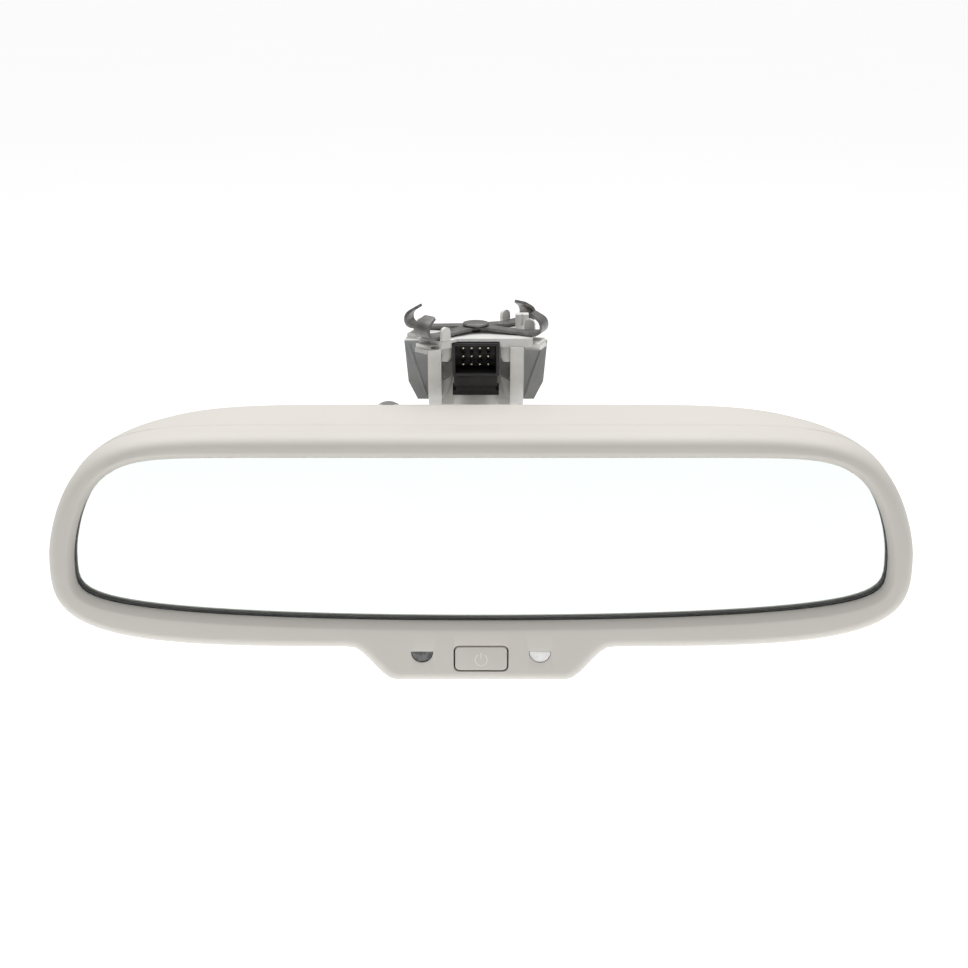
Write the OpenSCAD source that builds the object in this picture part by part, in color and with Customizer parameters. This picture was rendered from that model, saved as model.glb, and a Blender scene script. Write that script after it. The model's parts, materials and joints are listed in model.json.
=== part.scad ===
// Auto-dimming interior rearview mirror with a spring-claw foot, a ball joint and a sensor chin.
// The origin is the top of the clip rivet, where the windscreen plate seats. +Z up, glass faces -Y.

/* [Head] */
// Half of the head's width
head_half_w = 125.5; // [115:0.5:135]
// Height of the bezel above its widest line
head_top = 37; // [34:0.5:42]
// Depth of the bezel below its widest line
head_low = 28; // [26:0.5:31]
// Height of the widest line, measured from the middle of the glass
head_wide_z = -5.3; // [-7:0.1:-4]
// Depth of the seam between bezel and rear housing, behind the glass face
seam_depth = 9; // [8:0.5:11]
// Depth of the back of the rear housing, behind the glass face
back_depth = 32; // [30:0.5:36]
// Wall of the two housing shells
shell_wall = 2.2; // [1.8:0.1:2.6]
// Radius of the round opening in the back of the rear housing
back_hole_r = 16; // [15.6:0.1:16.4]

/* [Glass] */
// Half of the visible glass width
glass_half_w = 117.8; // [108:0.5:119]
// Visible glass height above the widest line
glass_top = 29.8; // [27:0.2:30.5]
// Visible glass depth below the widest line
glass_low = 19.5; // [17:0.2:20]
// Thickness of each glass sheet
glass_t = 1.6; // [1.4:0.1:1.8]
// Thickness of the dimming gel between the two sheets
gel_t = 0.2; // [0.15:0.05:0.3]
// Width of the cell seal
seal_w = 1.6; // [1.2:0.2:2.4]
// Thickness of the foam tape behind the glass
foam_t = 1; // [0.8:0.1:1.2]
// Thickness of the glass carrier
carrier_t = 1.8; // [1.6:0.1:2.2]
// How far the bezel lip reaches over the glass
lip_over = 2; // [1.6:0.1:2.4]
// How far the bezel crest stands in front of the glass
crest_h = 3.5; // [3:0.1:4]

/* [Chin] */
// How far the chin hangs below the bezel
chin_drop = 10.2; // [9.5:0.1:12]
// Half width of the flat bottom of the chin
chin_flat = 25; // [24:0.5:27]
// Half width of the chin where it meets the bezel
chin_wide = 38.5; // [36:0.5:42]
// Width of the push button
button_w = 15.2; // [13:0.2:16]
// Height of the push button
button_h = 7.2; // [6:0.2:8]
// Travel of the push button
button_travel = 0.5; // [0.3:0.1:0.6]
// Gap around the push button
button_gap = 0.4; // [0.3:0.05:0.5]
// Height of the button's centre, measured from the middle of the glass
chin_row_z = -35.4; // [-36:0.1:-35]
// Distance of each chin lens from the centre line
lens_x = 17.2; // [16:0.2:19]
// Radius of each chin lens
lens_r = 3.1; // [2.6:0.1:3.4]

/* [Ball joint] */
// Radius of the ball
ball_r = 9; // [8.6:0.1:9.2]
// Wall of each liner of the socket
liner_t = 1.4; // [1.2:0.1:1.5]
// Running gap between the ball, the liners and the socket
ball_gap = 0.2; // [0.15:0.05:0.25]
// Depth of the ball's centre behind the glass face
ball_depth = 24; // [23.5:0.1:24.5]
// Height of the ball's centre above the middle of the glass
ball_z = 10; // [9:0.5:11]
// Radius of the ball's neck
neck_r = 4.5; // [4.2:0.1:4.8]
// Radius of the cable bore through the stem
stem_bore_r = 2.6; // [2.2:0.1:2.8]

/* [Foot] */
// Distance from the glass face back to the middle of the foot
foot_back = 44; // [43.5:0.5:46]
// Height of the windscreen seat above the middle of the glass
foot_up = 55; // [54:0.5:58]
// Distance of the head's middle from the foot's, sideways
head_x = 1.6; // [0:0.1:2]
// Turn of the four claws and their guides about the vertical
clip_turn = 12; // [8:1:14]
// Half of the angle between the two claws of a side
claw_angle = 30; // [28:1:31]
// Distance of each claw's foot from the middle of the clip
claw_reach = 17.2; // [17:0.1:18]
// Half width of the foot plate
plate_x = 17; // [16:0.5:18]
// Half depth of the foot plate
plate_y = 11; // [10.5:0.5:12]
// Thickness of the foot plate
plate_t = 2.5; // [2:0.1:3]
// Rise of the clip's middle above the foot plate
clip_rise = 2.8; // [2.6:0.1:3.2]
// Thickness of the clip's spring steel
clip_t = 0.8; // [0.6:0.1:1]
// Width of each claw
claw_w = 6.6; // [6:0.2:7]
// Height of the claws above the windscreen seat
claw_h = 4.3; // [4:0.1:5]
// Radius of the locating hole
locate_r = 2.1; // [1.8:0.1:2.3]
// Distance of the locating hole from the middle of the foot
locate_x = 10.4; // [10:0.1:10.6]
// Distance of each rib from the middle of the foot
rib_x = 12.3; // [12:0.1:12.6]
// Thickness of each rib
rib_t = 4; // [3.4:0.2:4.4]

/* [Plug] */
// Spacing of the plug's pins
pin_pitch = 2.5; // [2.4:0.02:2.54]
// Width of one square pin
pin_w = 0.64; // [0.6:0.02:0.8]
// Width of the plug housing
plug_w = 13.9; // [13.6:0.1:14.4]
// Height of the plug housing
plug_h = 10; // [9.8:0.1:10.6]
// Wall of the plug housing
plug_wall = 0.9; // [0.8:0.1:1]

/* [Hidden] */
$fn = 64;
eps = 0.01;
fit = 0.25;

shell_paint = [0.93, 0.92, 0.9];
cast_paint = [0.85, 0.85, 0.83];
steel_paint = [0.45, 0.44, 0.43];
black_paint = [0.12, 0.12, 0.13];
board_paint = [0.1, 0.35, 0.2];

// Share of the half width sampled by equal steps along the flat runs
flat_share = 0.86;
flat_steps = 5;
side_steps = 6;
chin_steps = 6;

bezel_high_power = [11, 1.5];
bezel_low_power = [5.3, 3.4];
glass_high_power = [15, 1.5];
glass_low_power = [2, 5];

front_t = 2.2;
rear_glass_y = glass_t + gel_t;
foam_y = rear_glass_y + glass_t;
carrier_y = foam_y + foam_t;
rear_glass_drop = 1;
seal_in = 0.2;
board_y = 12;
board_t = 1.6;
board_back_y = board_y + board_t;
board_x = 40;
board_top_z = -10;
board_low_z = -28.5;
tongue_x = 22;
tongue_low_z = chin_row_z - 3.4;

liner_in = ball_r + ball_gap;
liner_out = liner_in + liner_t;
outer_in = liner_out + ball_gap;
outer_out = outer_in + liner_t;
cavity_r = outer_out + ball_gap;
socket_r = cavity_r + 2.8;
socket_mouth_r = 6.6;
cap_h = 7;
flange_w = 38;
flange_t = 2;
cap_screw_x = 15.2;
cap_screw_z = 14.5;
cap_boss_r = 3.2;
cap_screw_r = 1.2;
cap_head_r = 2.3;
cap_head_h = 1.4;
liner_edge = 6.5;

ball_foot_y = ball_depth - foot_back;
ball_foot_z = ball_z - foot_up;
bend_r = 9;
bend_y = -bend_r;
column_top = -22.4;
hub_r = neck_r + 2.1;
hub_low = -28.5;
hub_roof = 1.6;
web_y = 4.6;
web_t = 2;
stem_screw_z = hub_low + 3;
stem_screw_r = 1.2;
stem_head_r = 2.6;
stem_head_h = 1.8;
socket_flare_r = 6;
pad_out = 0.4;
pad_in = 7;
pad_w = 9.2;
ledge_w = 7;
ledge_reach = 4.6;
lug_t = 3.5;
lug_h = 1.2;
ear_t = 1.1;
ear_l = 3.2;
ear_h = 2.4;
ear_r = 1.6;
relief_h = 4;
relief_lap = 0.1;
cheek_t = 2.2;
guide_t = 1.3;
post_at = [12, 3.4];
post_w = 4;
post_d = 3.6;
post_h = 4.4;

clip_z = -clip_t - 0.6;
rivet_r = 4;
rivet_pin_r = 1.5;
plate_z = -clip_rise;
plate_under = plate_z - plate_t;
plug_front_y = -12;
plug_depth = 15;
plug_socket = 10.5;
plug_top = plate_under + 1.3;
plug_low = plug_top - plug_h;
pin_len = 5.5;
cable_plug_h = 3.5;
cable_low = plug_low - cable_plug_h - 0.1;
cable_r = 1.4;
road_x = 27.5;
road_r = 5.2;
road_z = head_wide_z + head_top - 2.6;
road_seat = 9;
road_l = 6.6;

// The upper half of an outline, from the top middle to the right: |x/a|^px + |z/b|^pz = 1
function height_at(x, a, b, pw) = b * pow(1 - pow(min(x / a, 1), pw[0]), 1 / pw[1]);
function width_at(z, a, b, pw) = a * pow(1 - pow(min(z / b, 1), pw[1]), 1 / pw[0]);
function side_run(a, b, pw) =
    let (z0 = height_at(flat_share * a, a, b, pw))
    [for (i = [1 : side_steps]) let (z = z0 * (1 - i / side_steps)) [width_at(z, a, b, pw), z]];
function high_run(a, b, pw) = concat(
    [for (i = [0 : flat_steps]) let (x = flat_share * a * i / flat_steps) [x, height_at(x, a, b, pw)]],
    side_run(a, b, pw));
function chin_xs(a) = concat(
    [0, chin_flat / 2],
    [for (i = [0 : chin_steps]) chin_flat + (chin_wide - chin_flat) * i / chin_steps],
    [for (i = [1 : flat_steps]) chin_wide + (flat_share * a - chin_wide) * i / flat_steps]);
function low_run(a, b, pw) = concat(
    [for (x = chin_xs(a)) [x, height_at(x, a, b, pw)]],
    side_run(a, b, pw));
function fade(x) =
    let (t = min(max((x - chin_flat) / (chin_wide - chin_flat), 0), 1))
    1 - t * t * (3 - 2 * t);

// A closed outline in X and Z: top middle, right side, bottom, left side
function outline(a, high, low, high_pw, low_pw, drop = 0, mid = head_wide_z) =
    let (up = high_run(a, high, high_pw))
    let (down = low_run(a, low, low_pw))
    let (nu = len(up))
    let (nd = len(down))
    let (right_low = [for (i = [nd - 2 : -1 : 0]) [down[i][0], mid - down[i][1] - drop * fade(down[i][0])]])
    concat(
        [for (p = up) [p[0], mid + p[1]]],
        right_low,
        [for (i = [1 : nd - 1]) [-down[i][0], mid - down[i][1] - drop * fade(down[i][0])]],
        [for (i = [nu - 2 : -1 : 1]) [-up[i][0], mid + up[i][1]]]);
function bezel_outline(drop = chin_drop) =
    outline(head_half_w, head_top, head_low, bezel_high_power, bezel_low_power, drop);
function glass_outline(grow = 0) =
    outline(glass_half_w + grow, glass_top + grow, glass_low + grow, glass_high_power, glass_low_power);

function ring(points, y) = [for (p = points) [p[0], y, p[1]]];
function band_faces(k0, k1, n) = [
    for (i = [0 : n - 1])
    let (j = (i + 1) % n)
    each [[k0 * n + i, k1 * n + j, k0 * n + j], [k0 * n + i, k1 * n + i, k1 * n + j]]
];

// A tube of rings that closes on itself, as a frame does
module closed_loft(rings) {
    n = len(rings[0]);
    m = len(rings);
    polyhedron(
        points = [for (r = rings) each r],
        faces = [for (k = [0 : m - 1]) each band_faces(k, (k + 1) % m, n)]
    );
}

// A tube of rings with flat ends
module capped_loft(rings) {
    n = len(rings[0]);
    m = len(rings);
    polyhedron(
        points = [for (r = rings) each r],
        faces = concat(
            [for (k = [0 : m - 2]) each band_faces(k, k + 1, n)],
            [[for (i = [0 : n - 1]) i]],
            [[for (i = [n - 1 : -1 : 0]) (m - 1) * n + i]])
    );
}

// Places what is measured from the middle of the glass face
module head() translate([head_x, -foot_back, -foot_up]) children();
// Places what is measured from the ball's centre, with +Z along the neck
module joint() translate([0, ball_foot_y, ball_foot_z]) rotate([-90, 0, 0]) children();
// Repeats a piece at the four claws, with +X pointing out along the claw
module each_claw()
    for (side = [0, 180], f = [-1, 1])
        rotate([0, 0, clip_turn + side + f * claw_angle]) children();

// A flat plate in X and Z with its front face at y
module plate_xz(y, t) translate([0, y + t, 0]) rotate([90, 0, 0]) linear_extrude(t) children();
// A round bar along Y from y, h long
module bar_y(x, y, z, r, h) translate([x, y, z]) rotate([-90, 0, 0]) cylinder(r = r, h = h);
module round_rect(w, h, r) {
    square([w - 2 * r, h], center = true);
    square([w, h - 2 * r], center = true);
    for (x = [-1, 1], y = [-1, 1])
        translate([x * (w / 2 - r), y * (h / 2 - r)]) circle(r);
}
module lens_shape(r) {
    intersection() {
        translate([0, r * 0.3]) circle(r);
        translate([-r, -r]) square([2 * r, r * 1.35]);
    }
}

// A strip of constant thickness along a path in two dimensions
function strip_normal(path, i) =
    let (a = path[max(i - 1, 0)])
    let (b = path[min(i + 1, len(path) - 1)])
    let (d = (b - a) / norm(b - a))
    [-d[1], d[0]];
module strip(path, t) {
    n = len(path);
    polygon(concat(
        [for (i = [0 : n - 1]) path[i] + strip_normal(path, i) * t / 2],
        [for (i = [n - 1 : -1 : 0]) path[i] - strip_normal(path, i) * t / 2]));
}

/* ---- foot ---- */

rib_side = [
    [plug_front_y, plate_under + eps], [-8.5, -17], [-4, -22], [0, -26], [web_y + web_t, -26],
    [plate_y - 1, plate_under + eps]
];
cheek_out = plate_x + 4.6;
cheek_side = [
    [rib_x, plate_under], [cheek_out, plate_under], [cheek_out - 1.2, -18], [cheek_out - 4, -23.5],
    [rib_x, -23.5]
];

module rib(x) {
    translate([x - rib_t / 2, 0, 0])
        rotate([90, 0, 90]) linear_extrude(rib_t) polygon(rib_side);
}

module foot_casting() color(cast_paint) {
    difference() {
        union() {
            translate([-plate_x, -plate_y, plate_under]) cube([2 * plate_x, 2 * plate_y, plate_t]);
            for (s = [-1, 1]) {
                rib(s * rib_x);
                mirror([s < 0 ? 1 : 0, 0, 0]) plate_xz(-cheek_t / 2, cheek_t) polygon(cheek_side);
            }
            translate([-rib_x, web_y, hub_low + 1]) cube([2 * rib_x, web_t, plate_under - hub_low - 1 + eps]);
            translate([0, 0, hub_low]) cylinder(r = hub_r, h = column_top - hub_low + hub_roof);
            each_claw() translate([claw_reach - pad_in, -pad_w / 2, plate_under + fit / 2])
                cube([pad_in + pad_out, pad_w, plate_t - fit]);
            translate([post_at[0], post_at[1], plate_z - eps]) cube([post_w, post_d, post_h]);
        }
        translate([0, 0, hub_low - 1]) cylinder(r = neck_r + 0.05, h = column_top - hub_low + 1);
        translate([0, 0, column_top - eps]) cylinder(r = stem_bore_r, h = hub_roof + 1);
        rotate([0, 0, clip_turn]) translate([locate_x, 0, plate_under - 1])
            cylinder(r = locate_r, h = plate_t + 2);
        rotate([0, 0, clip_turn]) translate([locate_x, 0, plate_under - relief_h])
            cylinder(r = locate_r + 0.6, h = relief_h + relief_lap);
        translate([-plug_w / 2 - fit, plug_front_y - 1, plug_low - fit])
            cube([plug_w + 2 * fit, plug_depth + 1 + fit, plug_h + 2 * fit]);
        bar_y(0, 0, stem_screw_z, stem_screw_r + 0.05, hub_r + 9);
        translate([post_at[0] + post_w / 2 - 0.3, post_at[1] - 0.1, plate_z + 1]) cube([0.7, 1, post_h]);
    }
}

arm_in = 4;
arm_w = 4.8;
claw_path = [
    [claw_reach - 3, plate_z + 0.7], [claw_reach + 1.4, plate_z + 0.7], [claw_reach + 3.2, plate_z + 0.75],
    [claw_reach + 4.3, plate_z + 1.8], [claw_reach + 4.2, 0.6], [claw_reach + 3, 2.2],
    [claw_reach + 1.4, 3.2], [claw_reach + 0.3, claw_h - 0.2]
];

module claw_clip() color(steel_paint) {
    difference() {
        union() {
            each_claw() {
                translate([0, arm_w / 2, 0]) rotate([90, 0, 0]) linear_extrude(arm_w)
                    strip([[0, clip_z], [arm_in, clip_z], claw_path[0], claw_path[1]], clip_t);
                translate([0, claw_w / 2, 0]) rotate([90, 0, 0]) linear_extrude(claw_w)
                    strip(claw_path, clip_t);
            }
            translate([0, 0, clip_z - clip_t / 2]) cylinder(r = rivet_r + 0.4, h = clip_t);
        }
        translate([0, 0, -5]) cylinder(r = rivet_pin_r + 0.1, h = 10);
    }
}

module clip_rivet() color(steel_paint) {
    translate([0, 0, clip_z + clip_t / 2]) cylinder(r = rivet_r, h = -clip_z - clip_t / 2);
    translate([0, 0, plate_z]) cylinder(r = rivet_pin_r, h = -plate_z - 0.5);
}

module guide_ledge() {
    translate([claw_reach - 0.6, -ledge_w / 2, plate_under - guide_t]) cube([ledge_reach, ledge_w, guide_t]);
    translate([claw_reach + pad_out + 0.1, -ledge_w / 2, plate_under - eps])
        cube([lug_t - pad_out, ledge_w, lug_h]);
}
module guide_ear() {
    translate([claw_reach - 3, claw_w / 2 + 0.3, plate_z]) cube([ear_l, ear_t, ear_h]);
    translate([claw_reach - 3 + ear_r, claw_w / 2 + 0.3 + ear_t, plate_z + ear_h]) rotate([90, 0, 0])
        cylinder(r = ear_r, h = ear_t);
}
module claw_guides() color("white") {
    difference() {
        each_claw() guide_ledge();
        for (s = [-1, 1])
            translate([s * rib_x - rib_t / 2 - 0.1, -2 * plate_y, plate_under - 5])
                cube([rib_t + 0.2, 4 * plate_y, 5]);
        translate([-plate_x - 0.1, -plate_y - 0.1, plate_under])
            cube([2 * plate_x + 0.2, 2 * plate_y + 0.2, plate_t]);
    }
    each_claw() guide_ear();
}

module ball_stem() color(cast_paint) {
    difference() {
        union() {
            joint() sphere(r = ball_r);
            joint() cylinder(r = neck_r, h = -ball_foot_y - bend_r);
            translate([0, bend_y, ball_foot_z + bend_r]) rotate([0, 90, 0])
                rotate_extrude(angle = 90) translate([bend_r, 0]) circle(neck_r);
            translate([0, 0, ball_foot_z + bend_r])
                cylinder(r = neck_r, h = column_top - ball_foot_z - bend_r);
        }
        joint() translate([0, 0, -1]) cylinder(r = stem_bore_r, h = 1 - ball_foot_y - bend_r + eps);
        joint() translate([0, 0, -ball_r - 1])
            cylinder(r1 = socket_flare_r, r2 = stem_bore_r, h = ball_r + 1);
        translate([0, bend_y, ball_foot_z + bend_r]) rotate([0, 90, 0])
            rotate_extrude(angle = 90) translate([bend_r, 0]) circle(stem_bore_r);
        translate([0, 0, ball_foot_z + bend_r]) cylinder(r = stem_bore_r, h = column_top - ball_foot_z);
        bar_y(0, stem_bore_r - 0.5, stem_screw_z, stem_screw_r + 0.05, neck_r);
    }
}

module stem_screw() color(steel_paint) {
    bar_y(0, stem_bore_r, stem_screw_z, stem_screw_r, hub_r - stem_bore_r + 0.2);
    bar_y(0, hub_r + 0.2, stem_screw_z, stem_head_r, stem_head_h);
}

// Four by three square bars along Y, from y and l long
module pins(y, l) {
    for (c = [-1.5 : 1.5], r = [-1 : 1])
        translate([c * pin_pitch, y + l / 2, (plug_low + plug_top) / 2 + r * pin_pitch])
            cube([pin_w, l, pin_w], center = true);
}

module plug_shell() color(black_paint) {
    difference() {
        translate([-plug_w / 2, plug_front_y, plug_low]) cube([plug_w, plug_depth, plug_h]);
        translate([-plug_w / 2 + plug_wall, plug_front_y - 1, plug_low + plug_wall])
            cube([plug_w - 2 * plug_wall, plug_socket + 1, plug_h - 2 * plug_wall]);
        pins(plug_front_y, plug_depth - 1);
    }
}

module plug_pins() color("silver")
    pins(plug_front_y + plug_socket - pin_len, pin_len + plug_depth - plug_socket - 1);

module cable_plug() color(black_paint) {
    difference() {
        translate([-plug_w / 2 + 0.5, plug_front_y + 2.6, cable_low]) cube([plug_w - 1, 11, cable_plug_h]);
        translate([0, 0, cable_low - 1]) cylinder(r = cable_r + 0.1, h = cable_plug_h);
    }
    translate([-5.4, plug_front_y + 2, cable_low + 1]) cube([3.4, 0.7, 2.1]);
}

module cable_boot() color(black_paint) {
    difference() {
        union() {
            translate([-plug_w / 2 + 1, -8.8, cable_low - 1.6]) cube([plug_w - 2, 11, 1.5]);
            translate([-plug_w / 2, -8, column_top + 1.7]) cube([plug_w, 10, cable_low - column_top - 3.3]);
        }
        translate([0, 0, column_top - 1]) cylinder(r = cable_r + 0.1, h = 20);
    }
}

module upper_cable() color(black_paint) {
    joint() translate([0, 0, 1]) cylinder(r = cable_r, h = -ball_foot_y - bend_r - 1);
    translate([0, bend_y, ball_foot_z + bend_r]) rotate([0, 90, 0])
        rotate_extrude(angle = 90) translate([bend_r, 0]) circle(cable_r);
    translate([0, 0, ball_foot_z + bend_r]) cylinder(r = cable_r, h = cable_low + 2.4 - ball_foot_z - bend_r);
}

/* ---- ball joint ---- */

module shell_zone(r_in, r_out, back, front) {
    rotate_extrude()
        difference() {
            intersection() {
                circle(r_out);
                translate([0, -front]) square([r_out, back + front]);
            }
            circle(r_in);
        }
}

module inner_liner() color("ivory") joint() shell_zone(liner_in, liner_out, liner_edge - 0.6, 7.4);
module outer_liner() color("dimgray") joint() shell_zone(outer_in, outer_out, liner_edge, 8.6);

module flange_holes() {
    for (x = [-1, 1], z = [-1, 1])
        translate([x * cap_screw_x, z * cap_screw_z, -10]) cylinder(r = cap_screw_r + 0.1, h = 20);
}

module front_cup() color("gray") joint() {
    difference() {
        union() {
            translate([0, 0, -socket_r + 0.6]) cylinder(r = socket_r, h = socket_r - 0.6);
            translate([0, 0, -flange_t / 2]) cube([flange_w, flange_w - 2, flange_t], center = true);
        }
        sphere(r = cavity_r);
        translate([0, 0, -socket_r - 1]) cylinder(r = socket_mouth_r, h = socket_r);
        flange_holes();
    }
}

module rear_cap() color("gray") joint() {
    difference() {
        union() {
            cylinder(r = socket_r, h = cap_h);
            translate([0, 0, flange_t / 2]) cube([flange_w, flange_w - 2, flange_t], center = true);
        }
        sphere(r = cavity_r);
        flange_holes();
    }
}

module cap_screws() color(steel_paint) joint() {
    for (x = [-1, 1], z = [-1, 1])
        translate([x * cap_screw_x, z * cap_screw_z, 0]) {
            translate([0, 0, -flange_t]) cylinder(r = cap_screw_r, h = flange_t * 2 + 2.6);
            translate([0, 0, -flange_t - cap_head_h]) cylinder(r = cap_head_r, h = cap_head_h);
        }
}

/* ---- head shells ---- */

// Each step of the rear housing: share of the depth from seam to back, and how far the outline
// pulls in at the sides, the top and the bottom
rear_steps = [
    [0, 0, 0, 0], [0.22, 1, -1.2, 1], [0.45, 4, -2.2, 4], [0.68, 10, -2.4, 8.5],
    [0.85, 20, -0.4, 13.5], [0.96, 32, 2.8, 17.5], [1, 41, 5.5, 19.6]
];
function rear_ring(step, wall) =
    let (t = step[0])
    let (soft = 1 - 0.45 * t)
    ring(outline(
        head_half_w - step[1] - wall, head_top - step[2] - wall, head_low - step[3] - wall,
        bezel_high_power * soft + [0, 0.6 * t], bezel_low_power * soft,
        chin_drop * max(0, 1 - pow(t / 0.7, 2))),
        seam_depth + t * (back_depth - (wall > 0 ? shell_wall : 0) - seam_depth));

module rear_housing() color(shell_paint) head() {
    difference() {
        union() {
            n = len(rear_steps);
            capped_loft(concat(
                [for (i = [n - 1 : -1 : 0]) rear_ring(rear_steps[i], shell_wall)],
                [for (i = [0 : n - 1]) rear_ring(rear_steps[i], 0)]));
            for (x = [-1, 1], z = [-1, 1])
                bar_y(x * cap_screw_x - head_x, ball_depth + flange_t, ball_z + z * cap_screw_z, cap_boss_r,
                    back_depth - ball_depth - flange_t - 1);
        }
        bar_y(-head_x, ball_depth + 1, ball_z, back_hole_r, 20);
        for (x = [-1, 1], z = [-1, 1])
            bar_y(x * cap_screw_x - head_x, ball_depth, ball_z + z * cap_screw_z, cap_screw_r + 0.1, 6);
        bar_y(-road_x, back_depth - road_seat, road_z, road_r + fit, road_seat + 3);
    }
}

// The bezel's section: from the outer edge (0) or the inner lip (1), how far in, and how deep
bezel_section = [
    [0, 0, seam_depth], [0, 0, 3.4], [0, 0.5, 0.6], [0, 1.6, -1.6], [0, 3.2, -crest_h + 0.5],
    [0.4, 0, -crest_h], [1, 1.6, -crest_h + 0.4], [1, 0.3, -1.8], [1, 0, -0.9], [1, 0, 0],
    [1, lip_over + fit, 0], [1, lip_over + fit, front_t - crest_h], [0, shell_wall + 0.4, front_t - crest_h],
    [0, shell_wall, 2], [0, shell_wall, seam_depth]
];
function bezel_ring(row, outer, inner) = [
    for (i = [0 : len(outer) - 1])
    let (o = outer[i])
    let (n = inner[i])
    let (d = (n - o) / norm(n - o))
    let (p = row[0] == 0 ? o + d * row[1] : row[0] == 1 ? n - d * row[1] : o + (n - o) * row[0])
    [p[0], row[2], p[1]]
];

module front_bezel() color(shell_paint) head() {
    outer = bezel_outline();
    inner = glass_outline();
    difference() {
        closed_loft([for (row = bezel_section) bezel_ring(row, outer, inner)]);
        plate_xz(-crest_h - 1, front_t + 3) translate([0, chin_row_z])
            round_rect(button_w + 2 * button_gap, button_h + 2 * button_gap, 1.7);
        for (s = [-1, 1])
            plate_xz(-crest_h - 1, front_t + 3) translate([s * lens_x, chin_row_z + 1])
                lens_shape(lens_r + fit);
    }
}

/* ---- glass pack ---- */

module front_glass() color("lightcyan") head()
    plate_xz(0, glass_t) polygon(glass_outline(lip_over));
module cell_seal() color("gray") head()
    plate_xz(glass_t, gel_t) difference() {
        polygon(glass_outline(lip_over - seal_in));
        polygon(glass_outline(lip_over - seal_in - seal_w));
    }
module dimming_gel() color("honeydew") head()
    plate_xz(glass_t, gel_t) polygon(glass_outline(lip_over - seal_in - seal_w - 0.02));
module rear_glass() color("silver") head()
    translate([0, 0, -rear_glass_drop / 2]) plate_xz(rear_glass_y, glass_t)
        polygon(glass_outline(lip_over - rear_glass_drop));
bus_w = 120;
bus_t = 0.3;
bus_lap = 0.2;
bus_fold = 2;
module bus_clips() color("goldenrod") head() {
    translate([-bus_w / 2, bus_lap, head_wide_z + glass_top + lip_over + bus_lap])
        cube([bus_w, foam_y - bus_lap, bus_t]);
    translate([-bus_w / 2, foam_y, head_wide_z + glass_top - bus_fold])
        cube([bus_w, bus_t, lip_over + bus_fold + 0.4]);
}
module foam_tape() color("dimgray") head()
    for (s = [-1, 1])
        translate([s * glass_half_w * 0.5 - glass_half_w * 0.42, foam_y, -18])
            cube([glass_half_w * 0.84, foam_t, 36]);
module board_holes() {
    for (p = board_screw_at) bar_y(p[0], carrier_y + 0.8, p[1], 1.3, board_back_y);
}
window_pitch = 38;
window_w = 22;
module glass_carrier() color("gray") head() {
    difference() {
        plate_xz(carrier_y, carrier_t) polygon(glass_outline(-1));
        plate_xz(carrier_y - 1, carrier_t + 2)
            for (i = [-2 : 2]) translate([i * window_pitch, 2]) round_rect(window_w, 20, 4);
        board_holes();
    }
    difference() {
        for (p = board_screw_at)
            bar_y(p[0], carrier_y + carrier_t - eps, p[1], 2.5, board_y - carrier_y - carrier_t);
        board_holes();
    }
    for (i = [-2.5, -1.5, 1.5, 2.5])
        translate([i * window_pitch - 0.8, carrier_y + carrier_t - eps, -16]) cube([1.6, 4, 34]);
}

/* ---- electronics ---- */

board_screw_at = [[-38, -14], [38, -14], [0, -21.5]];
socket_top_z = -12.2;
module circuit_board() color(board_paint) head() {
    difference() {
        union() {
            translate([-board_x, board_y, board_low_z])
                cube([2 * board_x, board_t, board_top_z - board_low_z]);
            translate([-tongue_x, board_y, tongue_low_z])
                cube([2 * tongue_x, board_t, board_low_z - tongue_low_z + 1]);
        }
        board_holes();
    }
}
module board_screws() color(steel_paint) head()
    for (p = board_screw_at) {
        bar_y(p[0], carrier_y + 1, p[1], 1.2, board_back_y - carrier_y - 1);
        bar_y(p[0], board_back_y, p[1], 2.2, 1.3);
    }
module on_board(x, z, w, h, t) translate([x - w / 2, board_back_y, z - h / 2]) cube([w, t, h]);
module board_chips() color(black_paint) head() {
    on_board(-14, -20, 9, 9, 1.2);
    on_board(22, -21, 6, 5, 1.5);
    on_board(32, -21, 5, 6, 1.5);
}
module board_capacitors() color("gray") head()
    for (x = [-28, -35]) bar_y(x, board_back_y, -22, 3, 4.5);
module board_resistors() color(black_paint) head()
    for (i = [0 : 6]) on_board(-15 + i * 5, -33, 1.2, 2, 0.5);
module board_socket() color("white") head()
    difference() {
        translate([-6.5, carrier_y + carrier_t + 0.2, socket_top_z - 6])
            cube([13, board_y - carrier_y - carrier_t - 0.2, 6]);
        translate([-5.4, lower_y - cable_r - 0.1, socket_top_z - 4]) cube([10.8, 2 * cable_r + 0.2, 5]);
    }
lower_bend = 2.8;
lower_y = (carrier_y + carrier_t + ball_depth - socket_r + 0.6) / 2;
module lower_cable() color(black_paint) head() {
    bar_y(-head_x, lower_y + lower_bend, ball_z, cable_r, ball_depth - lower_y - lower_bend - 0.2);
    translate([-head_x, lower_y + lower_bend, ball_z - lower_bend]) rotate([90, 0, -90])
        rotate_extrude(angle = 90) translate([lower_bend, 0]) circle(cable_r);
    translate([-head_x, lower_y, socket_top_z - 2])
        cylinder(r = cable_r, h = ball_z - lower_bend - socket_top_z + 2);
}
button_t = 3.4;
module switch_body() color(black_paint) head()
    difference() {
        translate([-3, board_y - 3.4, chin_row_z - 3]) cube([6, 3.4, 6]);
        bar_y(0, board_y - 4, chin_row_z, 1.9, 3);
    }
module switch_dome() color("silver") head()
    bar_y(0, board_y - 1.3, chin_row_z, 1.6, 0.25);
module switch_plunger() color("ivory") head()
    bar_y(0, board_y - 4.6, chin_row_z, 1.6, 2.7);
module push_button() color(shell_paint) head() {
    plate_xz(-crest_h - 0.05, button_t) translate([0, chin_row_z]) round_rect(button_w, button_h, 1.3);
    bar_y(0, -0.3, chin_row_z, 1.5, board_y - 4.7 + 0.3);
}
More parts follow.
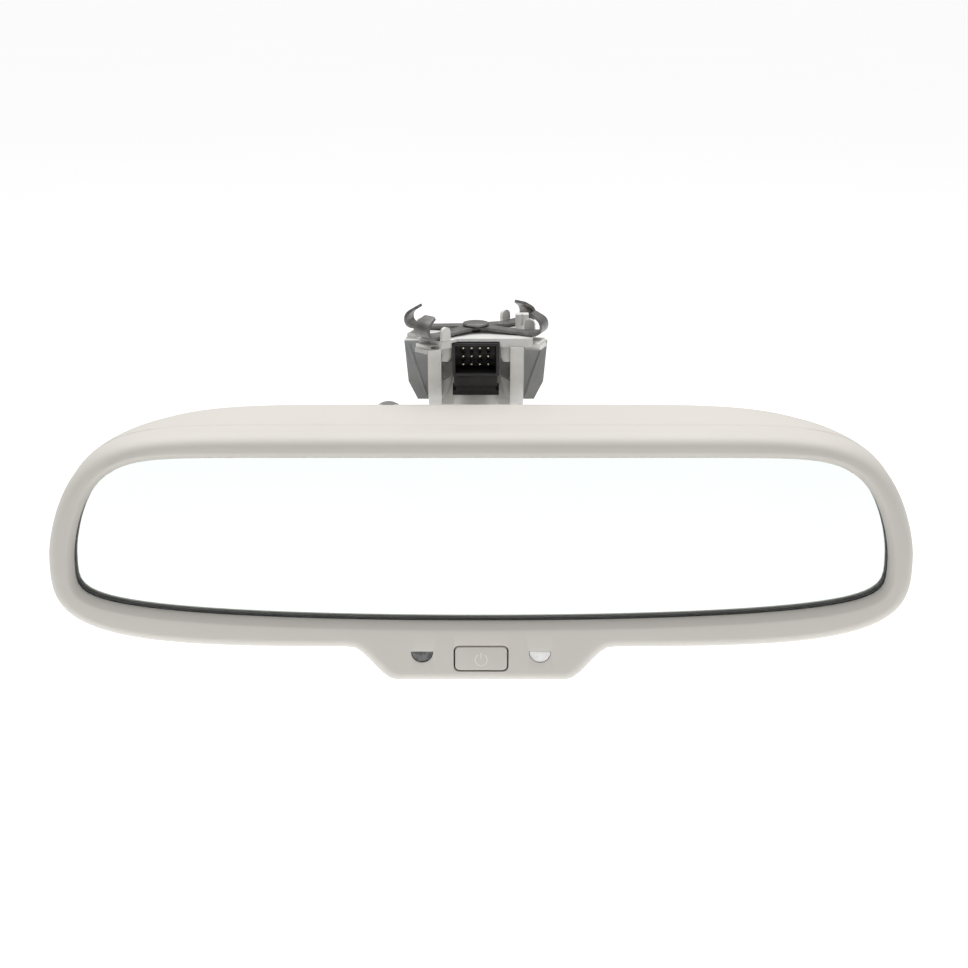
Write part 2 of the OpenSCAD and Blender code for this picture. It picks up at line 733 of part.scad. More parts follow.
module button_symbol() color("white") head()
    plate_xz(-crest_h - 0.1, 0.05) translate([0, chin_row_z - 0.4]) {
        difference() {
            circle(1.9);
            circle(1.6);
            polygon([[0, 0], [-1.6, 3], [1.6, 3]]);
        }
        translate([-0.15, 0.3]) square([0.3, 2]);
    }
module indicator_led() color("palegreen") head()
    translate([lens_x - 1.2, board_y - 1.6, chin_row_z]) cube([2.4, 1.6, 2.2]);
module indicator_lens() color("white") head() {
    plate_xz(-crest_h + 0.25, board_y - 2 + crest_h - 0.25)
        translate([lens_x, chin_row_z + 1]) lens_shape(lens_r);
}
module glare_sensor() color("black") head()
    translate([-lens_x - 1.5, board_y - 1.6, chin_row_z]) cube([3, 1.6, 2.2]);
module glare_lens() color("dimgray") head()
    plate_xz(-crest_h + 0.6, 3.4) translate([-lens_x, chin_row_z + 1]) lens_shape(lens_r);
module road_sensor() color("black") head()
    translate([-road_x - 1.5, back_depth - road_seat - 2, road_z - 1.5]) cube([3, 1.6, 3]);
module road_lens() color("gray") head()
    bar_y(-road_x, back_depth - road_seat, road_z, road_r, road_l);

foot_casting();
claw_clip();
clip_rivet();
claw_guides();
ball_stem();
stem_screw();
plug_shell();
plug_pins();
cable_plug();
cable_boot();
upper_cable();
inner_liner();
outer_liner();
front_cup();
rear_cap();
cap_screws();
rear_housing();
front_bezel();
front_glass();
dimming_gel();
cell_seal();
rear_glass();
bus_clips();
foam_tape();
glass_carrier();
circuit_board();
board_screws();
board_chips();
board_capacitors();
board_resistors();
board_socket();
lower_cable();
switch_body();
switch_dome();
switch_plunger();
push_button();
button_symbol();
indicator_led();
indicator_lens();
glare_sensor();
glare_lens();
road_sensor();
road_lens();
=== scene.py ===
import json
import math

import bpy
import numpy as np
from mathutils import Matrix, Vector


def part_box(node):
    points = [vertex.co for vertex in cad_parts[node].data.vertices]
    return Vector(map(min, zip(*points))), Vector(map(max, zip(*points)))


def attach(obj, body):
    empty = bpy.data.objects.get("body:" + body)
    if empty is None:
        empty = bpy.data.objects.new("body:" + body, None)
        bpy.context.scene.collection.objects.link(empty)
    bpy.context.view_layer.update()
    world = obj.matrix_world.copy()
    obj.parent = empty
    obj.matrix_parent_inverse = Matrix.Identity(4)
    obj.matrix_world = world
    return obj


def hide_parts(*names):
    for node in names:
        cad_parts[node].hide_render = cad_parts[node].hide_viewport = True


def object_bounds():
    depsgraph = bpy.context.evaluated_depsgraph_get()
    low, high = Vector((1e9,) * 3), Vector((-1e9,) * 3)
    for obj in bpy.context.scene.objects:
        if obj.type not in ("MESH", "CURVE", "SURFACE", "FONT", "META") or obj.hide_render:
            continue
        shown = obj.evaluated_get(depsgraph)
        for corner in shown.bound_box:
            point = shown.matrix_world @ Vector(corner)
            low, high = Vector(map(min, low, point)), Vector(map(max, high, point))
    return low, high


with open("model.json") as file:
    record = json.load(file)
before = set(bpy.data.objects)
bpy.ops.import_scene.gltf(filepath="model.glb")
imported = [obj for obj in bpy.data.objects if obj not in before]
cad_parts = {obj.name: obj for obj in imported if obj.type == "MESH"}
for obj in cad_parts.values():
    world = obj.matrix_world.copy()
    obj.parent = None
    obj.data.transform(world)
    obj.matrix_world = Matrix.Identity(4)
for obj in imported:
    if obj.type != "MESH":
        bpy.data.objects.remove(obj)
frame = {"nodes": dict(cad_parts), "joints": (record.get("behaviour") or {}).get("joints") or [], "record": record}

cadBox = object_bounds()
mm = 0.001
record = frame["record"]
joints = {joint["name"]: joint for joint in frame["joints"]}
glassLow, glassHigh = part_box("front_glass")
bezelLow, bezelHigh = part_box("front_bezel")
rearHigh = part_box("rear_housing")[1]
ballAt = Vector(joints["head_tilt"]["pos_m"])
glassY = glassLow.y
headX = (bezelLow.x + bezelHigh.x) / 2
glassMidZ = (glassLow.z + glassHigh.z) / 2


class Wire:
    def __init__(self, nodes, socket):
        self.nodes, self.socket = nodes, socket

    def also(self, name):
        return Wire(self.nodes, self.socket.node.outputs[name])

    def mathNode(self, operation, *values):
        return self.nodes.node("ShaderNodeMath", {"operation": operation}, dict(enumerate(values)))

    def __add__(self, other):
        return self.mathNode("ADD", self, other)

    def __mul__(self, other):
        return self.mathNode("MULTIPLY", self, other)

    def __abs__(self):
        return self.mathNode("ABSOLUTE", self)

    __radd__ = __add__
    __rmul__ = __mul__


class Nodes:
    def __init__(self, tree):
        self.tree = tree

    def feed(self, node, socket, value):
        if isinstance(value, Wire):
            self.tree.links.new(value.socket, node.inputs[socket])
        else:
            node.inputs[socket].default_value = value

    def node(self, kind, settings=None, inputs=None, out=0):
        made = self.tree.nodes.new(kind)
        for key, value in (settings or {}).items():
            if key == "stops":
                setStops(made.color_ramp, value)
            else:
                setattr(made, key, value)
        for key, value in (inputs or {}).items():
            self.feed(made, key, value)
        return Wire(self, made.outputs[out]) if made.outputs else None


class Paint(Nodes):
    def __init__(self, name):
        self.material = bpy.data.materials.new(name)
        self.material.use_nodes = True
        super().__init__(self.material.node_tree)
        self.tree.nodes.clear()
        shader = self.node("ShaderNodeBsdfPrincipled")
        self.shader = shader.socket.node
        self.node("ShaderNodeOutputMaterial", None, {"Surface": shader})
        self.place = self.node("ShaderNodeTexCoord", out="Object")

    def set(self, socket, value):
        self.feed(self.shader, socket, value)

    def noise(self, scale, detail=3, rough=0.55):
        return self.node("ShaderNodeTexNoise", None, {"Vector": self.place, "Scale": scale, "Detail": detail,
                                                      "Roughness": rough})

    def ramp(self, factor, low, high, dark, light):
        stops = [(low, dark), (high, light)]
        return self.node("ShaderNodeValToRGB", {"stops": stops}, {"Fac": factor})

    def mix(self, factor, first, second):
        return self.node("ShaderNodeMix", {"data_type": "RGBA"}, {0: factor, 6: first, 7: second},
                         out=2)

    def bump(self, height, strength, distance):
        return self.node("ShaderNodeBump", None, {"Height": height, "Strength": strength,
                                                  "Distance": distance})


def setStops(colorRamp, stops):
    for element, (place, value) in zip(colorRamp.elements, stops):
        element.position = place
        element.color = value if isinstance(value, tuple) else (value, value, value, 1)


def tone(r, g, b):
    return (r, g, b, 1)


def shellPlastic(name="shellPlastic", base=(0.675, 0.645, 0.60), grain=0.18):
    paint = Paint(name)
    cloud = paint.noise(35, 4)
    grainNoise = paint.noise(5200, 2, 0.6)
    dark = tone(*[c * 0.965 for c in base])
    light = tone(*[min(c * 1.03, 1) for c in base])
    paint.set("Base Color", paint.mix(cloud, dark, light))
    paint.set("Roughness", paint.ramp(paint.noise(900, 3), 0.3, 0.7, 0.44, 0.54))
    paint.set("Normal", paint.bump(grainNoise, grain, 0.00006))
    return paint.material


# where the painted shade on the recessed cheeks starts, outward and downward
cheekShadeStart = {"out": (14.3 * mm, 14.6 * mm), "down": (-5.35 * mm, -5.6 * mm)}


def castMetal():
    paint = Paint("castMetal")
    patch = paint.noise(90, 5, 0.6)
    pits = paint.noise(2600, 3, 0.7)
    axes = paint.node("ShaderNodeSeparateXYZ", None, {0: paint.place})
    # painted shade: masks for the recessed cheeks, outward of the ribs and below the plate
    shadeOutward = paint.node("ShaderNodeMapRange", None, {"Value": abs(axes), 1: cheekShadeStart["out"][0],
                                                   2: cheekShadeStart["out"][1]})
    shadeDownward = paint.node("ShaderNodeMapRange", None,
                       {"Value": axes.also("Z"), 1: cheekShadeStart["down"][0], 2: cheekShadeStart["down"][1]})
    pale = paint.ramp(patch, 0.3, 0.7, tone(0.70, 0.70, 0.685), tone(0.84, 0.835, 0.81))
    # painted shade: darker blue-grey tone laid on the recessed cheeks
    cheekPaintedShade = paint.ramp(patch, 0.3, 0.7, tone(0.33, 0.34, 0.35), tone(0.42, 0.43, 0.435))
    paint.set("Base Color", paint.mix(shadeOutward * shadeDownward, pale, cheekPaintedShade))
    paint.set("Metallic", 0.25)
    paint.set("Roughness", paint.ramp(pits, 0.3, 0.75, 0.42, 0.62))
    paint.set("Normal", paint.bump(pits + patch * 0.5, 0.35, 0.00012))
    return paint.material


def springSteel():
    paint = Paint("springSteel")
    rubbed = paint.noise(240, 5, 0.65)
    streak = paint.noise(1800, 2, 0.5)
    paint.set("Base Color", paint.ramp(rubbed, 0.35, 0.75, tone(0.15, 0.145, 0.14), tone(0.30, 0.295, 0.29)))
    paint.set("Metallic", 0.75)
    paint.set("Roughness", paint.ramp(streak, 0.3, 0.7, 0.34, 0.5))
    paint.set("Normal", paint.bump(streak, 0.25, 0.00005))
    return paint.material


def mouldedPlastic(name, dark, light, rough=(0.35, 0.5), grainScale=3800, strength=0.2):
    paint = Paint(name)
    paint.set("Base Color", paint.ramp(paint.noise(120, 4), 0.3, 0.7, tone(*dark), tone(*light)))
    paint.set("Roughness", paint.ramp(paint.noise(700, 3), 0.3, 0.7, rough[0], rough[1]))
    paint.set("Normal", paint.bump(paint.noise(grainScale, 2), strength, 0.00005))
    return paint.material


def brightMetal(name, dark, light, rough=(0.2, 0.34)):
    paint = Paint(name)
    smear = paint.noise(600, 4)
    paint.set("Base Color", paint.ramp(smear, 0.3, 0.7, tone(*dark), tone(*light)))
    paint.set("Metallic", 1.0)
    paint.set("Roughness", paint.ramp(smear, 0.25, 0.75, rough[0], rough[1]))
    paint.set("Normal", paint.bump(paint.noise(2500, 2), 0.15, 0.00003))
    return paint.material


def clearGlass():
    paint = Paint("clearGlass")
    paint.set("Transmission Weight", 1.0)
    paint.set("IOR", 1.45)
    haze = paint.noise(60, 4, 0.6)
    paint.set("Roughness", paint.ramp(haze, 0.45, 0.8, 0.0, 0.012))
    paint.set("Base Color", paint.ramp(haze, 0.3, 0.7, tone(0.965, 0.975, 0.972), tone(0.97, 0.98, 0.976)))
    return paint.material


def clearGel():
    paint = Paint("clearGel")
    paint.set("Base Color", paint.ramp(paint.noise(40), 0.3, 0.7, tone(0.9, 0.97, 0.94), tone(0.93, 0.98,
                                                                                              0.95)))
    paint.set("Alpha", 0.0)
    return paint.material


def mirrorCoat():
    paint = Paint("mirrorCoat")
    cloud = paint.noise(18, 3)
    paint.set("Base Color", paint.ramp(cloud, 0.3, 0.7, tone(0.85, 0.885, 0.87), tone(0.87, 0.905, 0.89)))
    paint.set("Metallic", 1.0)
    paint.set("Roughness", paint.ramp(cloud, 0.3, 0.7, 0.01, 0.02))
    return paint.material


def lensGloss(name, dark, light, coat=0.6):
    paint = Paint(name)
    swirl = paint.noise(500, 3, 0.6)
    paint.set("Base Color", paint.ramp(swirl, 0.35, 0.65, tone(*dark), tone(*light)))
    paint.set("Roughness", paint.ramp(swirl, 0.3, 0.7, 0.06, 0.16))
    paint.set("Coat Weight", coat)
    paint.set("Normal", paint.bump(swirl, 0.3, 0.0001))
    return paint.material


finishes = {
    "cast_metal": castMetal(),
    "spring_steel": springSteel(),
    "white_plastic": mouldedPlastic("whiteNylon", (0.78, 0.77, 0.74), (0.88, 0.87, 0.84)),
    "screw_steel": brightMetal("zincSteel", (0.45, 0.45, 0.44), (0.65, 0.65, 0.63)),
    "black_plastic": mouldedPlastic("blackPlastic", (0.012, 0.012, 0.013), (0.022, 0.021, 0.022)),
    "pin_metal": brightMetal("pinMetal", (0.72, 0.66, 0.50), (0.9, 0.85, 0.7)),
    "black_rubber": mouldedPlastic("blackRubber", (0.018, 0.017, 0.017), (0.035, 0.033, 0.033), (0.55, 0.75),
                                   1500),
    "grey_plastic": mouldedPlastic("greyPlastic", (0.11, 0.11, 0.11), (0.16, 0.16, 0.155)),
    "shell_plastic": shellPlastic(),
    "clear_glass": clearGlass(),
    "gel": clearGel(),
    "seal_grey": mouldedPlastic("cellSeal", (0.10, 0.11, 0.10), (0.17, 0.18, 0.165)),
    "mirror_coat": mirrorCoat(),
    "foam": mouldedPlastic("foamTape", (0.02, 0.02, 0.02), (0.05, 0.05, 0.05), (0.8, 0.95), 1200, 0.6),
    "board": mouldedPlastic("solderMask", (0.005, 0.07, 0.025), (0.012, 0.11, 0.04), (0.2, 0.35)),
    "can_metal": brightMetal("canMetal", (0.6, 0.6, 0.6), (0.8, 0.8, 0.8)),
    "symbol_white": mouldedPlastic("symbolWhite", (0.80, 0.79, 0.76), (0.88, 0.87, 0.84)),
    "led_resin": lensGloss("ledResin", (0.4, 0.6, 0.4), (0.6, 0.75, 0.6)),
    "lens_white": lensGloss("lensWhite", (0.82, 0.82, 0.81), (0.97, 0.97, 0.96)),
    "lens_dark": lensGloss("lensDark", (0.02, 0.022, 0.022), (0.20, 0.21, 0.20)),
    "lens_grey": lensGloss("lensGrey", (0.16, 0.16, 0.155), (0.2, 0.2, 0.195)),
}
slotOf = {part["node"]: part["material_slot"] for part in record["subparts"]}
bodyOf = {node: body for body, nodes in record["behaviour"]["bodies"].items() for node in nodes}
for nodeName, node in frame["nodes"].items():
    node.data.materials.clear()
    node.data.materials.append(finishes[slotOf[nodeName]])
print("finishes on", len(frame["nodes"]), "nodes")


def deselectAll():
    if bpy.context.mode != "OBJECT":
        bpy.ops.object.mode_set(mode="OBJECT")
    bpy.ops.object.select_all(action="DESELECT")


def activate(piece):
    deselectAll()
    piece.select_set(True)
    bpy.context.view_layer.objects.active = piece


def applyModifier(piece, kind, **settings):
    activate(piece)
    modifier = piece.modifiers.new(kind.lower(), kind)
    for key, value in settings.items():
        setattr(modifier, key, value)
    bpy.ops.object.modifier_apply(modifier=modifier.name)


def editAll(piece, *steps):
    activate(piece)
    bpy.ops.object.mode_set(mode="EDIT")
    bpy.ops.mesh.select_all(action="SELECT")
    for step in steps:
        step()
    bpy.ops.object.mode_set(mode="OBJECT")


def finishPiece(piece, nodes, body=None, slotName=None, smoothAngle=35):
    activate(piece)
    bpy.ops.object.transform_apply(location=True, rotation=True, scale=True)
    bpy.ops.object.shade_smooth_by_angle(angle=math.radians(smoothAngle))
    slotName = slotName or slotOf[nodes[0]]
    piece.data.materials.clear()
    piece.data.materials.append(finishes[slotName])
    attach(piece, body or bodyOf[nodes[0]])
    if nodes:
        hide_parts(*nodes)
    return piece


def joined(name, pieces):
    deselectAll()
    for piece in pieces:
        piece.select_set(True)
    bpy.context.view_layer.objects.active = pieces[0]
    bpy.ops.object.join()
    pieces[0].name = pieces[0].data.name = name
    return pieces[0]


def softCopy(nodeName, pieceName, edge, segments=2, flat=0.6):
    piece = bpy.data.objects.new(pieceName, frame["nodes"][nodeName].data.copy())
    bpy.context.scene.collection.objects.link(piece)
    editAll(piece, lambda: bpy.ops.mesh.remove_doubles(threshold=2e-6),
            lambda: bpy.ops.mesh.dissolve_limited(angle_limit=math.radians(flat)))
    applyModifier(piece, "BEVEL", width=edge, segments=segments, limit_method="ANGLE",
                  angle_limit=math.radians(30), harden_normals=False, use_clamp_overlap=True)
    return finishPiece(piece, [nodeName])


headShape = {
    "up": 37 * mm,
    "bezelHigh": (11, 1.5), "bezelLow": (5.3, 3.4),
    "glassHigh": (15, 1.5), "glassLow": (2, 5),
    "lipOver": 2 * mm, "chinDrop": 10.2 * mm, "chinFlat": 25 * mm, "chinWide": 38.5 * mm,
    "crest": 3.5 * mm, "seam": 9 * mm, "wall": 2.2 * mm, "points": 256,
}
headMidZ = bezelHigh.z - headShape["up"]   # height of the widest line


# a quarter outline |x/a|^p + |z/b|^q = 1, from the middle out to the side
def powerCurve(a, b, powers, n=500):
    p, q = powers
    xs = np.linspace(0, 0.93, n)
    flat = np.stack([xs * a, b * (1 - xs ** p) ** (1 / q)], 1)
    zs = np.linspace(flat[-1, 1] / b, 0, n)[1:]
    side = np.stack([a * (1 - zs ** q) ** (1 / p), zs * b], 1)
    return np.concatenate([flat, side])


def evenly(points, count):
    closed = np.concatenate([points, points[:1]])
    length = np.concatenate([[0], np.cumsum(np.linalg.norm(np.diff(closed, axis=0), axis=1))])
    at = np.linspace(0, length[-1], count, endpoint=False)
    return np.stack([np.interp(at, length, closed[:, k]) for k in (0, 1)], 1)


# a closed outline in X and Z, from the top middle towards +X
def outline(a, high, low, highPowers, lowPowers, drop=0.0, count=None):
    up, down = powerCurve(a, high, highPowers), powerCurve(a, low, lowPowers)
    t = np.clip((down[:, 0] - headShape["chinFlat"]) / (headShape["chinWide"] - headShape["chinFlat"]), 0, 1)
    down = np.stack([down[:, 0], -down[:, 1] - drop * (1 - t * t * (3 - 2 * t))], 1)
    left = [-1, 1]
    whole = np.concatenate([up, down[-2::-1], (down * left)[1:], (up * left)[-2:0:-1]])
    points = evenly(whole, count or headShape["points"])
    return points + [headX, headMidZ]


def inward(points):
    along = np.roll(points, -3, 0) - np.roll(points, 3, 0)
    along /= np.linalg.norm(along, axis=1)[:, None]
    return np.stack([along[:, 1], -along[:, 0]], 1)


# a torus primitive whose cross rings are laid along closed rings
def ringLoft(name, rings):
    count, steps = len(rings[0]), len(rings)
    deselectAll()
    bpy.ops.mesh.primitive_torus_add(major_segments=count, minor_segments=steps, major_radius=0.1,
                                     minor_radius=0.02)
    piece = bpy.context.object
    piece.name = piece.data.name = name
    place = np.stack(rings, 1).reshape(-1, 3)
    piece.data.vertices.foreach_set("co", place.astype(np.float32).ravel())
    piece.data.update()
    editAll(piece, lambda: bpy.ops.mesh.normals_make_consistent(inside=False))
    return piece


def ringAt(points, depth):
    return np.stack([points[:, 0], np.full(len(points), glassY + depth), points[:, 1]], 1)


bezelHalf = (bezelHigh.x - bezelLow.x) / 2
glassHalf = (glassHigh.x - glassLow.x) / 2 - headShape["lipOver"]
glassUp = glassHigh.z - headMidZ - headShape["lipOver"]
glassDown = headMidZ - glassLow.z - headShape["lipOver"]
bezelUp = headShape["up"]
bezelDown = headMidZ - bezelLow.z - headShape["chinDrop"]
outerLine = outline(bezelHalf, bezelUp, bezelDown, headShape["bezelHigh"], headShape["bezelLow"],
                    headShape["chinDrop"])
lipLine = outline(glassHalf, glassUp, glassDown, headShape["glassHigh"], headShape["glassLow"])


bezel = {"roll": 3.9 * mm, "rollDepth": 6.0 * mm, "rollTurns": 14, "innerEdge": 1.7 * mm,
         "seamEdge": 0.42 * mm,
         "lipEdge": 0.35 * mm, "crown": 0.02 * mm, "glassGap": 0.02 * mm, "hold": 0.25 * mm,
         "cutEdge": 0.12 * mm, "cutAhead": 1 * mm, "cutBehind": 4 * mm}


# each step: from the outer line (0) or the lip (1), how far in from it, and how deep
def bezelSection():
    crest, seam, wall = -headShape["crest"], headShape["seam"], headShape["wall"]
    steps = [(0, bezel["seamEdge"], seam), (0, 0, seam - bezel["seamEdge"]), (0, 0, seam * 0.6)]
    for k in range(bezel["rollTurns"] + 1):
        angle = math.pi / 2 * k / bezel["rollTurns"]
        steps.append((0, bezel["roll"] * (1 - math.cos(angle)),
                      crest + bezel["rollDepth"] * (1 - math.sin(angle))))
    steps.append((1, bezel["innerEdge"] + 0.9 * mm, crest - bezel["crown"]))
    steps += [(1, bezel["innerEdge"] + 0.3 * mm, crest), (1, bezel["innerEdge"], crest + 0.12 * mm),
              (1, bezel["innerEdge"] * 0.55, crest + 0.9 * mm), (1, bezel["lipEdge"], crest + 1.75 * mm),
              (1, 0.08 * mm, crest + 2.3 * mm), (1, 0, -0.5 * mm), (1, 0, -bezel["glassGap"])]
    reach = headShape["lipOver"] + bezel["hold"]
    steps += [(1, reach, -bezel["glassGap"]), (1, reach, crest + wall),
              (0, wall + 0.9 * mm, crest + wall + 0.6 * mm), (0, wall, 2.6 * mm), (0, wall, seam)]
    return steps


outerIn, lipIn = inward(outerLine), inward(lipLine)
rings = []
for base, far, depth in bezelSection():
    line = outerLine + outerIn * far if base == 0 else lipLine - lipIn * far
    rings.append(ringAt(line, depth))
frontBezel = ringLoft("frontBezel", rings)


def roundedPrism(name, width, height, radius, place, low, high):
    deselectAll()
    bpy.ops.mesh.primitive_cube_add(size=1, location=place)
    piece = bpy.context.object
    piece.name = piece.data.name = name
    piece.scale = (width, high - low, height)
    piece.location.y = (low + high) / 2
    bpy.ops.object.transform_apply(location=True, rotation=True, scale=True)
    bpy.ops.object.mode_set(mode="EDIT")
    bpy.ops.mesh.select_mode(type="EDGE")
    bpy.ops.mesh.select_all(action="DESELECT")
    bpy.ops.object.mode_set(mode="OBJECT")
    for edge in piece.data.edges:
        a, b = (piece.data.vertices[v].co for v in edge.vertices)
        edge.select = abs(a.y - b.y) > (high - low) / 2
    bpy.ops.object.mode_set(mode="EDIT")
    bpy.ops.mesh.bevel(offset=radius, segments=8, affect="EDGES")
    bpy.ops.object.mode_set(mode="OBJECT")
    return piece


def subtract(piece, cutter):
    applyModifier(piece, "BOOLEAN", operation="DIFFERENCE", solver="EXACT", object=cutter)
    bpy.data.objects.remove(cutter, do_unlink=True)


buttonLow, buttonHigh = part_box("push_button")
crestY = glassY - headShape["crest"]
buttonMid = (buttonLow + buttonHigh) / 2
button = {"gap": 0.42 * mm, "holeCorner": 1.7 * mm, "corner": 1.35 * mm, "edge": 0.35 * mm, "deep": 3.4 * mm,
          "stalk": 1.5 * mm, "stalkFrom": 3.2 * mm}
cutLow, cutHigh = crestY - bezel["cutAhead"], crestY + bezel["cutBehind"]
subtract(frontBezel, roundedPrism("buttonHole", buttonHigh.x - buttonLow.x + 2 * button["gap"],
                                  buttonHigh.z - buttonLow.z + 2 * button["gap"], button["holeCorner"],
                                  buttonMid, cutLow, cutHigh))


def lensBar(name, nodeName, grow, low, high):
    boxLow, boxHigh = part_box(nodeName)
    radius = (boxHigh.x - boxLow.x) / 2 + grow
    centre = Vector(((boxLow.x + boxHigh.x) / 2, (low + high) / 2, boxLow.z + radius - grow))
    deselectAll()
    bpy.ops.mesh.primitive_cylinder_add(vertices=72, radius=radius, depth=high - low, location=centre,
                                        rotation=(math.pi / 2, 0, 0))
    piece = bpy.context.object
    piece.name = piece.data.name = name
    bpy.ops.object.transform_apply(location=True, rotation=True, scale=True)
    bpy.ops.object.mode_set(mode="EDIT")
    bpy.ops.mesh.select_all(action="SELECT")
    bpy.ops.mesh.bisect(plane_co=(0, 0, boxHigh.z + grow), plane_no=(0, 0, 1), use_fill=True,
                        clear_outer=True)
    bpy.ops.object.mode_set(mode="OBJECT")
    return piece


for nodeName in ("glare_lens", "indicator_lens"):
    subtract(frontBezel, lensBar("lensHole", nodeName, bezel["cutEdge"], cutLow, cutHigh))
applyModifier(frontBezel, "BEVEL", width=bezel["cutEdge"], segments=2, limit_method="ANGLE",
              angle_limit=math.radians(50), use_clamp_overlap=True)
finishPiece(frontBezel, ["front_bezel"])
print("bezel done")


glass = {"sheet": 1.6 * mm, "gel": 0.2 * mm, "coat": 0.2 * mm, "edge": 0.12 * mm,
         "coatIn": 0.6 * mm}


def glassSheet(name, grow, low, high, nodes, slotName):
    line = lipLine - lipIn * grow
    deselectAll()
    bpy.ops.mesh.primitive_circle_add(vertices=len(line), fill_type="NGON", radius=0.1)
    piece = bpy.context.object
    piece.name = piece.data.name = name
    place = np.stack([line[:, 0], np.full(len(line), glassY + low), line[:, 1]], 1)
    piece.data.vertices.foreach_set("co", place.astype(np.float32).ravel())
    piece.data.update()
    editAll(piece,
            lambda: bpy.ops.mesh.extrude_region_move(TRANSFORM_OT_translate={"value": (0, high - low, 0)}),
            lambda: bpy.ops.mesh.select_all(action="SELECT"),
            lambda: bpy.ops.mesh.normals_make_consistent(inside=False))
    if high - low > 4 * glass["edge"]:
        applyModifier(piece, "BEVEL", width=glass["edge"], segments=2, limit_method="ANGLE",
                      angle_limit=math.radians(60))
    return finishPiece(piece, nodes, "head", slotName, smoothAngle=10)


# the gel wets both sheets, so together they are one clear body in front of the coat
stack = 2 * glass["sheet"] + glass["gel"]
glassSheet("clearStack", headShape["lipOver"], 0, stack - glass["coat"] / 2, ["front_glass", "dimming_gel"],
           "clear_glass")
glassSheet("mirrorCoat", headShape["lipOver"] - glass["coatIn"], stack - glass["coat"], stack, ["rear_glass"],
           "mirror_coat")
print("glass done")


rearSteps = [
    [0, 0, 0, 0], [0.22, 1, -1.2, 1], [0.45, 4, -2.2, 4], [0.68, 10, -2.4, 8.5],
    [0.85, 20, -0.4, 13.5], [0.96, 32, 2.8, 17.5], [1, 41, 5.5, 19.6],
]
rearShape = {"depth": rearHigh.y - glassY - headShape["seam"], "hole": 16 * mm, "rings": 26, "flatRings": 6,
             "spread": 1.6, "soften": 0.45, "flatten": 0.6, "chinEnd": 0.7, "roadGap": 0.25 * mm,
             "roadDeep": 14 * mm, "roadShift": 4 * mm}


def smoothColumn(at, column):
    xs = np.array([row[0] for row in rearSteps])
    ys = np.array([row[column] for row in rearSteps], float)
    slopes = np.gradient(ys, xs)
    i = np.clip(np.searchsorted(xs, at, side="right") - 1, 0, len(xs) - 2)
    h = xs[i + 1] - xs[i]
    u = (at - xs[i]) / h
    return ((2 * u ** 3 - 3 * u ** 2 + 1) * ys[i] + (u ** 3 - 2 * u ** 2 + u) * h * slopes[i]
            + (3 * u ** 2 - 2 * u ** 3) * ys[i + 1] + (u ** 3 - u ** 2) * h * slopes[i + 1])


def rearLine(at, wall):
    side, top, low = (smoothColumn(at, k) * mm + wall for k in (1, 2, 3))
    soft = 1 - rearShape["soften"] * at
    highPowers = (headShape["bezelHigh"][0] * soft,
                  headShape["bezelHigh"][1] * soft + rearShape["flatten"] * at)
    lowPowers = (headShape["bezelLow"][0] * soft, headShape["bezelLow"][1] * soft)
    drop = headShape["chinDrop"] * max(0, 1 - (at / rearShape["chinEnd"]) ** 2)
    return outline(bezelHalf - side, bezelUp - top, bezelDown - low, highPowers, lowPowers, drop)


def holeLine(radius):
    flatLine = rearLine(1, 0)
    offset = flatLine - [ballAt.x, ballAt.z]
    return np.array([ballAt.x, ballAt.z]) + offset / np.linalg.norm(offset, axis=1)[:, None] * radius


def rearRings(wall):
    depth = rearShape["depth"] - (headShape["wall"] if wall else 0)
    rings = []
    for k in range(rearShape["rings"] + 1):
        at = 1 - (1 - k / rearShape["rings"]) ** rearShape["spread"]
        rings.append(ringAt(rearLine(at, wall), headShape["seam"] + at * depth))
    backLine, hole = rearLine(1, wall), holeLine(rearShape["hole"])
    for k in range(1, rearShape["flatRings"] + 1):
        t = k / rearShape["flatRings"]
        rings.append(ringAt(backLine * (1 - t) + hole * t, headShape["seam"] + depth))
    return rings


outside, inside = rearRings(0), rearRings(headShape["wall"])
seamRing = ringAt(rearLine(0, bezel["seamEdge"]), headShape["seam"])
outside[0] = ringAt(rearLine(0, 0), headShape["seam"] + bezel["seamEdge"])
rearHousing = ringLoft("rearHousing", [seamRing] + outside + inside[::-1])
roadLow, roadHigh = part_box("road_lens")
roadMid = (roadLow + roadHigh) / 2
deselectAll()
bpy.ops.mesh.primitive_cylinder_add(vertices=64, radius=(roadHigh.x - roadLow.x) / 2 + rearShape["roadGap"],
                                    depth=rearShape["roadDeep"], rotation=(math.pi / 2, 0, 0),
                                    location=roadMid + Vector((0, rearShape["roadShift"], 0)))
subtract(rearHousing, bpy.context.object)
finishPiece(rearHousing, ["rear_housing"])
print("rear housing done")


pushButton = roundedPrism("pushButton", buttonHigh.x - buttonLow.x, buttonHigh.z - buttonLow.z,
                          button["corner"], buttonMid, buttonLow.y, buttonLow.y + button["deep"])
applyModifier(pushButton, "BEVEL", width=button["edge"], segments=4, limit_method="ANGLE",
              angle_limit=math.radians(60))
deselectAll()
stalkLow = buttonLow.y + button["stalkFrom"]
bpy.ops.mesh.primitive_cylinder_add(vertices=32, radius=button["stalk"], depth=buttonHigh.y - stalkLow,
                                    location=(buttonMid.x, (stalkLow + buttonHigh.y) / 2, buttonMid.z),
                                    rotation=(math.pi / 2, 0, 0))
joined("pushButton", [pushButton, bpy.context.object])
finishPiece(pushButton, ["push_button"])

for nodeName, pieceName in (("glare_lens", "glareLens"), ("indicator_lens", "indicatorLens")):
    boxLow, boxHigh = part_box(nodeName)
    lens = lensBar(pieceName, nodeName, 0.0, boxLow.y, boxHigh.y)
    applyModifier(lens, "BEVEL", width=0.5 * mm, segments=5, limit_method="ANGLE",
                  angle_limit=math.radians(60))
    finishPiece(lens, [nodeName])

softCopy("road_lens", "roadLens", 1.2 * mm, 5)
print("button and lenses done")


claw = {"reach": 17.2 * mm, "width": 6.6 * mm, "thick": 0.85 * mm, "turn": 12, "angle": 30}
plateTop = -2.8 * mm
